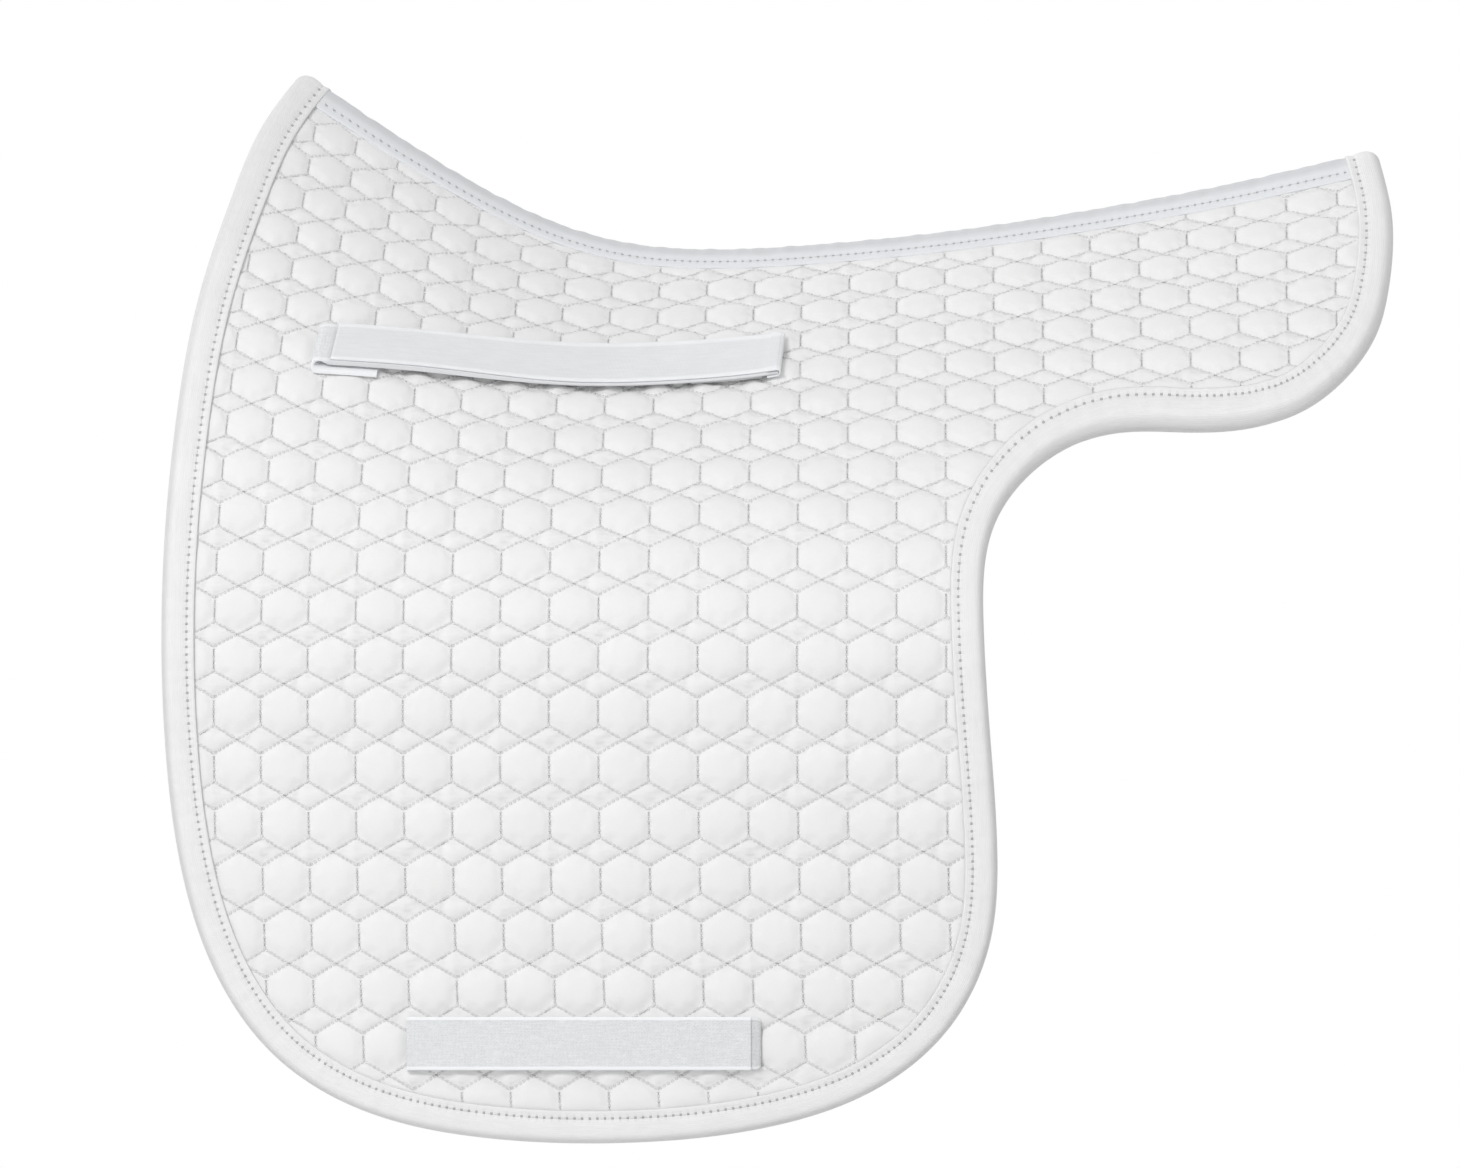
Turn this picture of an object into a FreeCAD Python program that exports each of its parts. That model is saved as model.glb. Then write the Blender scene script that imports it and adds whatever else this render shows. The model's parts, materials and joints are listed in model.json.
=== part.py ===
import FreeCAD, Part

import math
import os

import Sketcher
from FreeCAD import Placement, Rotation, Vector

# A quilted dressage saddle pad, in millimetres. +X points to the horse's tail, +Y to its right
# side and +Z up. The origin is on the underside of the spine, at the lowest point of the seat.
# Every piece is made for the left side (-Y) and mirrored, or made across the spine.

DIMENSIONS = {
    # The draped shape. Drops are measured down from the outer face at the seat's lowest point.
    "half_width": 260,
    "flat_drop": 253,
    "bend_drop": 257,
    "split_gap": 0.6,
    "crown_rate": 1.1,
    # The layers of the panel and the tapes round it
    "cover_thickness": 1.2,
    "wadding_thickness": 8,
    "lining_thickness": 1.2,
    "tape_thickness": 1.2,
    "binding_width": 19,
    "spine_tape_half": 23,
    "lining_tape_half": 15,
    # The webbing of both straps, and their touch-close patches
    "web_thickness": 1.5,
    "face_thickness": 1.2,
    "patch_thickness": 1,
    "touch_gap": 0.6,
    "hem_thickness": 3.9,
    # The billet strap, along X
    "billet_front": -220,
    "billet_fold": 6,
    "billet_face_front": -209,
    "billet_tab_end": -181,
    "billet_hem_front": 46.5,
    "billet_end": 57,
    "billet_patch": 45,
    # The girth strap on the flap
    "girth_front": -166,
    "girth_end": 36,
    "girth_width": 30,
    "girth_drop": 461.5,
    "girth_patch": 45,
}

# The topline of the outer face, as (x, height over the seat's lowest point)
TOPLINE = [
    (-330, 169), (-225, 102), (-180, 73), (-133, 43.5), (-87, 19.7), (-41, 5.2), (8, 0.6),
    (75, 3.5), (145, 10.4), (238, 24.4), (331, 42.3), (397, 57.4), (440, 67),
]
# The panel's edge, from above the front peak down the front, round the bottom and up to above
# the rear peak
PANEL_EDGE = [
    (-208, 124), (-225, 102), (-247, 72), (-268, 25), (-285, -29), (-297, -95), (-304, -165),
    (-306, -235), (-303, -300), (-294, -363), (-274, -422), (-240, -469), (-190, -500),
    (-120, -516), (-36, -519), (45, -510), (104, -490), (149, -454), (174, -402), (178, -350),
    (174, -285), (170, -215), (177, -156), (195, -129), (221, -110), (253, -101), (287, -101),
    (320, -100), (353, -91), (381, -70), (400, -41), (406, -8), (404, 26), (397, 57), (389, 86),
]
# The long edges of the billet strap, which sags a little between its ends
BILLET_TOP = [(-225, -43.5), (-84, -55.7), (62, -48)]
BILLET_BOTTOM = [(-225, -67.5), (-84, -79), (62, -71.8)]
TAB_EXTRA = 5
EDGE_SAMPLES = 60
OVER_PEAKS = 200
UNDER_REACH = 700
BOX_LENGTH = 800
PRISM_MARGIN = 20

doc = FreeCAD.newDocument("saddle_pad")
sheet = doc.addObject("Spreadsheet::Sheet", "Dimensions")
for row, (alias, value) in enumerate(DIMENSIONS.items(), start=1):
    sheet.set(f"A{row}", alias.replace("_", " "))
    sheet.set(f"B{row}", str(value))
    sheet.setAlias(f"B{row}", alias)
doc.recompute()


def size(alias):
    return float(sheet.get(alias))


panel_thickness = size("cover_thickness") + size("wadding_thickness") + size("lining_thickness")
seat_height = size("crown_rate") * (panel_thickness + size("tape_thickness"))
flat_level = seat_height - size("flat_drop")
bend_level = seat_height - size("bend_drop")
pieces = []


def at_seat(x, rise):
    """A point of the side view, from its height over the seat's lowest point."""
    return Vector(x, 0, rise + seat_height)


def keep(obj, name):
    """Names a finished piece, which is then written to a file of its own."""
    obj.Label = name
    pieces.append(obj)
    return obj


def keep_both(obj, name):
    """Keeps a left piece and its mirror image on the right."""
    keep(obj, f"left_{name}")
    mirror = doc.addObject("Part::Mirroring", f"right_{name}")
    mirror.Source = obj
    mirror.Base = Vector(0, 0, 0)
    mirror.Normal = Vector(0, 1, 0)
    keep(mirror, f"right_{name}")


def feature(name, shape):
    obj = doc.addObject("Part::Feature", name)
    obj.Shape = shape
    obj.Placement = Placement()
    return obj


# The drape: a B-spline surface whose cross-section is a parabola from the spine to the level
# where the panel hangs straight


def space_under(depth):
    """The left half's space below the surface that lies `depth` inside the outer face."""
    crown = Part.BSplineCurve()
    points = [at_seat(x, rise - size("crown_rate") * depth) for x, rise in TOPLINE]
    crown.interpolate(Points=points, Parameters=[float(x) for x, _ in TOPLINE])
    reach = depth - size("half_width")
    poles = []
    for pole in crown.getPoles():
        shoulder = Vector(pole.x, reach, (pole.z + flat_level) / 2)
        poles.append([pole, shoulder, Vector(pole.x, reach, flat_level)])
    surface = Part.BSplineSurface()
    surface.buildFromPolesMultsKnots(
        poles, crown.getMultiplicities(), [3, 3], crown.getKnots(), [0, 1],
        False, False, crown.Degree, 2,
    )
    return surface.toShape().extrude(Vector(0, 0, -UNDER_REACH))


spaces = {}


def layer(outer, inner):
    """The left half's draped layer between two depths inside the outer face."""
    for depth in (outer, inner):
        if depth not in spaces:
            spaces[depth] = space_under(depth)
    return spaces[outer].cut(spaces[inner])


def prism(edges):
    """A side view outline as a solid that runs from just past the spine to beyond the left."""
    face = Part.Face(Part.Wire(edges))
    face.translate(Vector(0, PRISM_MARGIN, 0))
    return face.extrude(Vector(0, -size("half_width") - 2 * PRISM_MARGIN, 0))


def panel_prism(inset):
    """The whole panel's outline, `inset` inside its edge and open over the topline."""
    edge = Part.BSplineCurve()
    edge.interpolate([at_seat(x, rise) for x, rise in PANEL_EDGE])
    if inset:
        inner = []
        for point in edge.discretize(EDGE_SAMPLES):
            along = Vector(*edge.tangent(edge.parameter(point))[0]).normalize()
            inner.append(point + Vector(-along.z, 0, along.x) * inset)
        edge = Part.BSplineCurve()
        edge.interpolate(inner)
    front, rear = edge.StartPoint, edge.EndPoint
    lift = Vector(0, 0, OVER_PEAKS)
    corners = [rear, rear + lift, front + lift, front]
    lines = [Part.makeLine(a, b) for a, b in zip(corners, corners[1:])]
    return prism([edge.toShape(), *lines])


def block(x_range, y_range, z_range):
    """A box between two values on each axis."""
    low = Vector(x_range[0], y_range[0], z_range[0])
    sides = [high - start for start, high in (x_range, y_range, z_range)]
    return Part.makeBox(*sides, low)


def across(left):
    """A left shape joined to its mirror image over the spine."""
    return left.fuse(left.mirror(Vector(0, 0, 0), Vector(0, 1, 0))).removeSplitter()


tape = size("tape_thickness")
whole_edge = panel_prism(0)
cloth_edge = panel_prism(tape)
face_edge = panel_prism(size("binding_width"))
half_length = BOX_LENGTH / 2
wide = (-half_length, half_length)
above_bend = block(wide, wide, (bend_level + size("split_gap") / 2, half_length))

# The three layers of the panel above the bend line
LAYER_STACK = ["cover", "wadding", "lining"]
depths = {}
depth = 0
for name in LAYER_STACK:
    depths[name] = (depth, depth + size(f"{name}_thickness"))
    depth = depths[name][1]
for name, (outer, inner) in depths.items():
    sheet_solid = layer(outer, inner).common(cloth_edge).common(above_bend)
    title = "outer_cover" if name == "cover" else name
    keep_both(feature(f"left_{title}", sheet_solid), title)

# The binding is folded round the panel's edge, and the two spine tapes butt against it
edge_band = whole_edge.cut(face_edge)
wrapped = layer(0, panel_thickness).common(cloth_edge)
binding = layer(-tape, panel_thickness + tape).common(edge_band).common(above_bend).cut(wrapped)
for name, x_range in (("front", (-half_length, 0)), ("rear", (0, 2 * half_length))):
    part = binding.common(block(x_range, wide, wide))
    keep(feature(f"{name}_binding", across(part)), f"{name}_binding")
for name, outer, half in (
    ("spine_tape", -tape, size("spine_tape_half")),
    ("spine_lining_tape", panel_thickness, size("lining_tape_half")),
):
    strip = layer(outer, outer + tape).common(face_edge).common(block(wide, (-half, half), wide))
    keep(feature(name, across(strip)), name)

# The billet strap: a tab sewn on the panel, a fold, and webbing with a face tape that lies over
# it. It closes with a touch-close patch.


def billet_prism(front, end, extra=0):
    """The billet strap's outline between two X values, `extra` deeper at its lower edge."""
    top, bottom = Part.BSplineCurve(), Part.BSplineCurve()
    top.interpolate([at_seat(x, rise) for x, rise in BILLET_TOP])
    bottom.interpolate([at_seat(x, rise - extra) for x, rise in BILLET_BOTTOM])
    ends = [
        Part.makeLine(top.StartPoint, bottom.StartPoint),
        Part.makeLine(top.EndPoint, bottom.EndPoint),
    ]
    strap = prism([top.toShape(), ends[1], bottom.toShape(), ends[0]])
    return strap.common(block((front, end), wide, wide))


web = size("web_thickness")
patch = size("patch_thickness")
hook_back = patch + size("touch_gap")
web_back = hook_back + patch
web_face = web_back + web
billet_front = size("billet_front")
billet_start = billet_front + size("billet_fold")
hem_front = size("billet_hem_front")
patch_front = hem_front - size("billet_patch")

BILLET_PIECES = [
    # name, back and front over the panel, first and last X, extra depth
    ("billet_tab", 0, web, billet_start, size("billet_tab_end"), TAB_EXTRA),
    ("billet_loop_patch", 0, patch, patch_front, hem_front, 0),
    ("billet_hook_patch", hook_back, web_back, patch_front, hem_front, 0),
    ("billet_webbing", web_back, web_face, billet_start, hem_front, 0),
    ("billet_face_tape", web_face, web_face + size("face_thickness"),
     size("billet_face_front"), hem_front, 0),
    ("billet_end_hem", web_back, web_back + size("hem_thickness"), hem_front,
     size("billet_end"), 0),
]
for name, back, front, first, last, extra in BILLET_PIECES:
    solid = layer(-front, -back).common(billet_prism(first, last, extra))
    keep_both(feature(f"left_{name}", solid), name)
turn = layer(-web_face, 0).common(billet_prism(billet_front, billet_start))
hollow = layer(-web_back, -web).common(billet_prism(billet_front + web, billet_start))
keep_both(feature("left_billet_fold", turn.cut(hollow)), "billet_fold")

# The flap below the bend line hangs flat, so its pieces are plates cut to the panel's outline


def helper(name, shape):
    obj = feature(name, shape)
    obj.Visibility = False
    return obj


def plate(name, depth_from, depth_to):
    """A flap-sized box whose faces lie at two depths inside the outer face."""
    box = doc.addObject("Part::Box", name)
    box.Length = BOX_LENGTH
    box.Placement = Placement(Vector(-half_length, 0, bend_level - BOX_LENGTH), Rotation())
    box.setExpression("Width", f"{depth_to} - ({depth_from})")
    box.setExpression("Placement.Base.y", f"{depth_from} - Dimensions.half_width")
    box.setExpression("Height", f"{BOX_LENGTH} - Dimensions.split_gap / 2")
    return box


def combine(kind, name, base, tool):
    obj = doc.addObject(f"Part::{kind}", name)
    obj.Base = base
    obj.Tool = tool
    return obj


cell = "Dimensions.{}_thickness".format
outline = helper("flap_outline", cloth_edge)
band = helper("flap_edge_band", edge_band)
cover_back = cell("cover")
wadding_back = f"{cover_back} + {cell('wadding')}"
lining_back = f"{wadding_back} + {cell('lining')}"
FLAP_LAYERS = [
    ("flap_cover", "0", cover_back),
    ("flap_wadding", cover_back, wadding_back),
    ("flap_lining", wadding_back, lining_back),
]
for name, front, back in FLAP_LAYERS:
    sheet_box = plate(f"{name}_plate", front, back)
    keep_both(combine("Common", f"left_{name}", sheet_box, outline), name)
taped = plate("flap_taped_plate", f"-{cell('tape')}", f"{lining_back} + {cell('tape')}")
core = combine("Common", "flap_core", plate("flap_core_plate", "0", lining_back), outline)
rim = combine("Common", "flap_rim", taped, band)
keep_both(combine("Cut", "left_flap_binding", rim, core), "flap_binding")

# The girth strap on the flap: base webbing sewn on, a fold at its rear end, and webbing that
# comes back to the front over it. A touch-close patch closes its front end.

girth_level = f"{seat_height} - Dimensions.girth_drop - Dimensions.girth_width / 2"
GIRTH_HOOK = f"{cell('web')} + {cell('patch')} + Dimensions.touch_gap"
GIRTH_WEB = f"{GIRTH_HOOK} + {cell('patch')}"
patch_end = "Dimensions.girth_front + Dimensions.girth_patch"
GIRTH_PIECES = [
    # name, back over the flap's face, thickness, last X
    ("girth_base", "0", cell("web"), "Dimensions.girth_end"),
    ("girth_loop_patch", cell("web"), cell("patch"), patch_end),
    ("girth_hook_patch", GIRTH_HOOK, cell("patch"), patch_end),
    ("girth_webbing", GIRTH_WEB, cell("web"), "Dimensions.girth_end"),
]
for name, back, thickness, last in GIRTH_PIECES:
    box = doc.addObject("Part::Box", f"left_{name}")
    box.setExpression("Length", f"{last} - Dimensions.girth_front")
    box.setExpression("Width", thickness)
    box.setExpression("Height", "Dimensions.girth_width")
    box.setExpression("Placement.Base.x", "Dimensions.girth_front")
    box.setExpression("Placement.Base.y", f"-Dimensions.half_width - ({back}) - {thickness}")
    box.setExpression("Placement.Base.z", girth_level)
    keep_both(box, name)


def girth_turn(name):
    """A body padded from a U that joins the base webbing to the webbing over it."""
    body = doc.addObject("PartDesign::Body", name)
    profile = body.newObject("Sketcher::SketchObject", f"{name}_profile")
    plane = next(f for f in body.Origin.OriginFeatures if f.Role == "XY_Plane")
    profile.AttachmentSupport = [(plane, "")]
    profile.MapMode = "FlatFace"
    outer_radius = (web_back + 2 * web) / 2
    inner_radius = outer_radius - web
    rings = []
    for radius in (outer_radius, inner_radius):
        circle = Part.Circle(Vector(0, 0, 0), Vector(0, 0, 1), radius)
        half_turn = Part.ArcOfCircle(circle, -math.pi / 2, math.pi / 2)
        rings.append(profile.addGeometry(half_turn, False))
    for start, sign in ((2, 1), (1, -1)):
        ends = [Vector(0, sign * r, 0) for r in (outer_radius, inner_radius)]
        line = profile.addGeometry(Part.LineSegment(*ends), False)
        profile.addConstraint(Sketcher.Constraint("Coincident", line, 1, rings[0], start))
        profile.addConstraint(Sketcher.Constraint("Coincident", line, 2, rings[1], start))
        profile.addConstraint(Sketcher.Constraint("Vertical", line))
    for ring in rings:
        profile.addConstraint(Sketcher.Constraint("Coincident", ring, 3, -1, 1))
    gap = f"({GIRTH_WEB} - {cell('web')}) / 2"
    for ring, radius in zip(rings, (f"{gap} + {cell('web')}", gap)):
        number = profile.addConstraint(Sketcher.Constraint("Radius", ring, outer_radius))
        profile.setExpression(f"Constraints[{number}]", radius)
    profile.addConstraint(Sketcher.Constraint("PointOnObject", rings[0], 1, -2))
    pad = body.newObject("PartDesign::Pad", f"{name}_pad")
    pad.Profile = profile
    pad.setExpression("Length", "Dimensions.girth_width")
    body.setExpression("Placement.Base.x", "Dimensions.girth_end")
    body.setExpression("Placement.Base.y", f"-Dimensions.half_width - {cell('web')} - {gap}")
    body.setExpression("Placement.Base.z", girth_level)
    return body


keep_both(girth_turn("left_girth_fold"), "girth_fold")

doc.recompute()
for obj in doc.Objects:
    if "Invalid" in obj.State or "Error" in obj.State:
        raise RuntimeError(f"{obj.Label} did not recompute: {obj.State}")
for piece in pieces:
    if piece.Shape.isNull() or not piece.Shape.isValid() or piece.Shape.Volume <= 0:
        raise RuntimeError(f"{piece.Label} has no valid shape")

os.makedirs("parts", exist_ok=True)
for piece in pieces:
    piece.Shape.exportStep(f"parts/{piece.Label}.step")
    print(piece.Label, len(piece.Shape.Solids), round(piece.Shape.Volume / 1000, 2))
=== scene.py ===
import json
import math

import bpy
import numpy as np
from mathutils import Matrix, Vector
from mathutils.kdtree import KDTree


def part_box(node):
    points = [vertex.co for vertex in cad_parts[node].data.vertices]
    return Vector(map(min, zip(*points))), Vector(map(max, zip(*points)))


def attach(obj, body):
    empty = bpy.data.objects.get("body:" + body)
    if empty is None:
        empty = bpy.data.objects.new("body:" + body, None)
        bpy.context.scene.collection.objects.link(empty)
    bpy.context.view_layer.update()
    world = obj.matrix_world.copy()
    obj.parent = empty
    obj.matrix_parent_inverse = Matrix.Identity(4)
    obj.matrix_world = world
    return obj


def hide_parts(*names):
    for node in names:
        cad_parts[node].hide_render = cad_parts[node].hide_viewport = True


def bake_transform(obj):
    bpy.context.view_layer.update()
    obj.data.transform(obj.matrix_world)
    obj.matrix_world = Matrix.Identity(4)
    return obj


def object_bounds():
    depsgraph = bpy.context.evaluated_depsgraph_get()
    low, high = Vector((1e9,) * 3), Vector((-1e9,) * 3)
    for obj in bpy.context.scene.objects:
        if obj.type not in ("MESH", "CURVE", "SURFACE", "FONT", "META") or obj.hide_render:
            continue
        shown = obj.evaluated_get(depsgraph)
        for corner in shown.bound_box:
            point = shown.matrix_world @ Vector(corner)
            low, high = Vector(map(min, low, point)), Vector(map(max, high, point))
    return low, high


# A quilted dressage saddle pad. Lengths are in millimetres until a mesh is made. +X points to the
# horse's tail, -Y to its left side and +Z up. A place on the pad is given by x and z as seen from
# the side, and by the height over the outer face's mean surface.

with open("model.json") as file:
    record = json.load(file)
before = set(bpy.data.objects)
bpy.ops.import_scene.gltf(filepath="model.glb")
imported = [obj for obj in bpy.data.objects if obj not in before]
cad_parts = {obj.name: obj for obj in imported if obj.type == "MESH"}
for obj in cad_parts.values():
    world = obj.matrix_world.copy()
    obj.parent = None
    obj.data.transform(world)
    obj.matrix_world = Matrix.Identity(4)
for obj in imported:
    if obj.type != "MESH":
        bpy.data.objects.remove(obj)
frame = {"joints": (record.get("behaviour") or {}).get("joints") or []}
cad_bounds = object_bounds()
MM = 0.001
SIDES = {"left": -1, "right": 1}


def cad_box(node):
    return [np.array(corner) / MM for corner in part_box(node)]


def joint_place(name):
    joint = next(j for j in frame["joints"] if j["name"] == name)
    return np.array(joint["pos_m"]) / MM


# --- Driving sizes ---

HALF = -cad_box("left_outer_cover")[0][1]
BEND = joint_place("left_flap_lift")[2]
# The pad hangs straight below FLAT, and SEAT is the lowest point of its topline
FLAT = BEND + 4
SEAT = FLAT + 253
PAD = 10.4
COVER = 1.1
RIDGE = 5
TAPE_HALF = 23
LINING_TAPE_HALF = 15
BINDING_WIDTH = 19
# The binding pulls the two peaks out: the end, the distances and heights where the pull grows,
# and the pull itself
PEAK_PULLS = [(-1, (170, 222), (40, 105), (-1.5, 0, 2.2)), (1, (310, 372), (-20, 45), (3.8, 0, 1.2))]

# The topline and the edge, as (x, height over the seat's lowest point)
TOPLINE = [
    (-330, 169), (-225, 102), (-180, 73), (-133, 43.5), (-87, 19.7), (-41, 5.2), (8, 0.6),
    (75, 3.5), (145, 10.4), (238, 24.4), (331, 42.3), (397, 57.4), (440, 67),
]
PANEL_EDGE = [
    (-208, 124), (-225, 102), (-247, 72), (-268, 25), (-285, -29), (-297, -95), (-304, -165),
    (-306, -235), (-303, -300), (-294, -363), (-274, -422), (-240, -469), (-190, -500),
    (-120, -516), (-36, -519), (45, -510), (104, -490), (149, -454), (174, -402), (178, -350),
    (174, -285), (170, -215), (177, -156), (195, -129), (221, -110), (253, -101), (287, -101),
    (320, -100), (353, -91), (381, -70), (400, -41), (406, -8), (404, 26), (397, 57), (389, 86),
]

# --- Curves and the drape ---


def natural_spline(x, y):
    """A function that gives the value and slope of the natural cubic spline through points."""
    x, y = np.asarray(x, float), np.asarray(y, float)
    gap = np.diff(x)
    system = np.zeros((len(x), len(x)))
    right = np.zeros(len(x))
    system[0, 0] = system[-1, -1] = 1
    for k in range(1, len(x) - 1):
        system[k, k - 1:k + 2] = gap[k - 1], 2 * (gap[k - 1] + gap[k]), gap[k]
        right[k] = 6 * ((y[k + 1] - y[k]) / gap[k] - (y[k] - y[k - 1]) / gap[k - 1])
    bend = np.linalg.solve(system, right)

    def at(value):
        k = np.clip(np.searchsorted(x, value) - 1, 0, len(gap) - 1)
        g, a, b = gap[k], x[k + 1] - value, value - x[k]
        height = (bend[k] * a**3 + bend[k + 1] * b**3) / (6 * g)
        height = height + (y[k] / g - bend[k] * g / 6) * a + (y[k + 1] / g - bend[k + 1] * g / 6) * b
        slope = (bend[k + 1] * b**2 - bend[k] * a**2) / (2 * g)
        slope = slope + (y[k + 1] - y[k]) / g - (bend[k + 1] - bend[k]) * g / 6
        return height, slope

    return at


def curve_through(points, step):
    """Even samples of a smooth curve through points, and its directions."""
    points = np.asarray(points, float)
    chord = np.r_[0, np.cumsum(np.linalg.norm(np.diff(points, axis=0), axis=1))]
    splines = [natural_spline(chord, column) for column in points.T]
    fine = np.linspace(0, chord[-1], len(points) * 200)
    samples = np.stack([spline(fine)[0] for spline in splines], axis=1)
    length = np.r_[0, np.cumsum(np.linalg.norm(np.diff(samples, axis=0), axis=1))]
    even = np.interp(np.arange(0, length[-1], step), length, fine)
    places = np.stack([spline(even)[0] for spline in splines], axis=1)
    along = np.stack([spline(even)[1] for spline in splines], axis=1)
    return places, along / np.linalg.norm(along, axis=1, keepdims=True)


crown = natural_spline(*np.array(TOPLINE).T)


def crown_height(x):
    return crown(x)[0] + SEAT


def drape(x, z, height=0.0, side=-1):
    """Points of the pad from their place in the side view and height over the outer face."""
    x, z, height = np.broadcast_arrays(*(np.asarray(v, float) for v in (x, z, height)))
    rise = crown_height(x) - FLAT
    w = np.clip((z - FLAT) / rise, 0, 1)
    y = HALF * (1 - w * w)
    ridge = np.clip(y / RIDGE, 0, 1)
    normal = np.stack([-2 * HALF * w * w * crown(x)[1], rise * ridge, 2 * HALF * w], axis=-1)
    normal /= np.linalg.norm(normal, axis=-1, keepdims=True)
    sunk = rise / (2 * HALF) * RIDGE / 2 * (1 - ridge)**2
    point = np.stack([x, y, np.minimum(z, rise + FLAT) - sunk], axis=-1)
    for end, x_range, z_range, pull in PEAK_PULLS:
        share = smooth_step(end * x, *x_range) * smooth_step(z, *z_range)
        point = point + share[..., None] * pull
    return (point + normal * height[..., None]) * (1, side, 1)


def outward(x, z, side=-1):
    """The direction away from the horse at a place on the pad."""
    return drape(x, z, 1, side) - drape(x, z, 0, side)


def level_at(x, up):
    """The side view's height at a distance up the cloth from where the pad hangs straight.

    Newton's method finds it from the length of the parabola that the cloth follows."""
    rise = crown_height(x) - FLAT
    reach = 2 * HALF
    w = np.clip(up / (0.5 * reach), 0.01, None)**0.7
    for _ in range(12):
        root = np.sqrt(rise**2 + (reach * w)**2)
        length = 0.5 * (w * root + rise**2 / reach * np.arcsinh(reach * w / rise))
        w = np.clip(w - (length - up) / root, 0, 2)
    return np.where(up <= 0, FLAT + up, FLAT + w * rise)


def level_from_spine(x, y):
    """The side view's height of the outer face at a distance y to the side of the spine."""
    return FLAT + (crown_height(x) - FLAT) * np.sqrt(1 - np.abs(y) / HALF)


edge_points, edge_along = curve_through([(x, rise + SEAT) for x, rise in PANEL_EDGE], 1)
edge_inward = np.stack([-edge_along[:, 1], edge_along[:, 0]], axis=1)
edge_tree = KDTree(len(edge_points))
for index, (x, z) in enumerate(edge_points):
    edge_tree.insert((x, z, 0), index)
edge_tree.balance()


def nearest_edge(x, z):
    """How far places are inside the panel's edge, and the number of the nearest edge sample."""
    found = np.array([edge_tree.find((a, b, 0))[1] for a, b in zip(x, z)])
    offset = np.stack([x, z], axis=1) - edge_points[found]
    return (offset * edge_inward[found]).sum(axis=1), found


def smooth_step(value, low, high):
    t = np.clip((value - low) / (high - low), 0, 1)
    return t * t * (3 - 2 * t)


def ripple(value, wavelengths):
    """A smooth uneven wave between about -1 and 1, the same on each run."""
    parts = [np.sin(2 * math.pi * value / w + 2.4 * k) for k, w in enumerate(wavelengths)]
    return sum(parts) / math.sqrt(len(parts))


# --- Meshes ---


def add_object(name, data):
    added = bpy.data.objects.new(name, data)
    bpy.context.scene.collection.objects.link(added)
    return added


def make_piece(name, points, faces, uv_maps=None, mirrored=False):
    """A mesh object from points in millimetres, facing the other way if it is mirrored.

    A UV map gives one pair for each point, or for each corner of faces that are all quads."""
    if mirrored:
        faces = [face[::-1] for face in faces]
    mesh = bpy.data.meshes.new(name)
    mesh.from_pydata((np.asarray(points) * MM).tolist(), [], faces)
    for title, pairs in (uv_maps or {}).items():
        pairs = np.asarray(pairs, float)
        if len(pairs) == len(points):
            corners = np.empty(len(mesh.loops), int)
            mesh.loops.foreach_get("vertex_index", corners)
            pairs = pairs[corners]
        elif mirrored:
            pairs = pairs.reshape(-1, 4, 2)[:, ::-1]
        layer = mesh.uv_layers.new(name=title)
        layer.data.foreach_set("uv", pairs.astype(np.float32).ravel())
    mesh.shade_smooth()
    mesh.validate()
    return add_object(name, mesh)


def grid_faces(rows, columns, close_columns=False):
    """Quads between the points of a grid that is stored row by row."""
    faces = []
    for r in range(rows - 1):
        for c in range(columns if close_columns else columns - 1):
            d = (c + 1) % columns
            faces.append((r * columns + c, (r + 1) * columns + c, (r + 1) * columns + d, r * columns + d))
    return faces


def tube_faces(rows, columns):
    """The faces of a tube whose closed section is stored row by row, with both ends filled."""
    faces = [face[::-1] for face in grid_faces(rows, columns, True)]
    last = rows * columns - 1
    return faces + [tuple(range(columns)), tuple(range(last, last - columns, -1))]


def shell(outer, inner, quads):
    """Points and faces of a closed sheet between two copies of an open mesh."""
    count = len(outer)
    quads = np.array(quads)
    starts, ends = quads.ravel(), np.roll(quads, -1, axis=1).ravel()
    codes = np.minimum(starts, ends) * count + np.maximum(starts, ends)
    _, where, uses = np.unique(codes, return_index=True, return_counts=True)
    rim = where[uses == 1]
    sides = np.stack([ends[rim], starts[rim], starts[rim] + count, ends[rim] + count], axis=1)
    faces = np.concatenate([quads, quads[:, ::-1] + count, sides])
    return np.concatenate([outer, inner]), faces


# --- Materials ---


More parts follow.
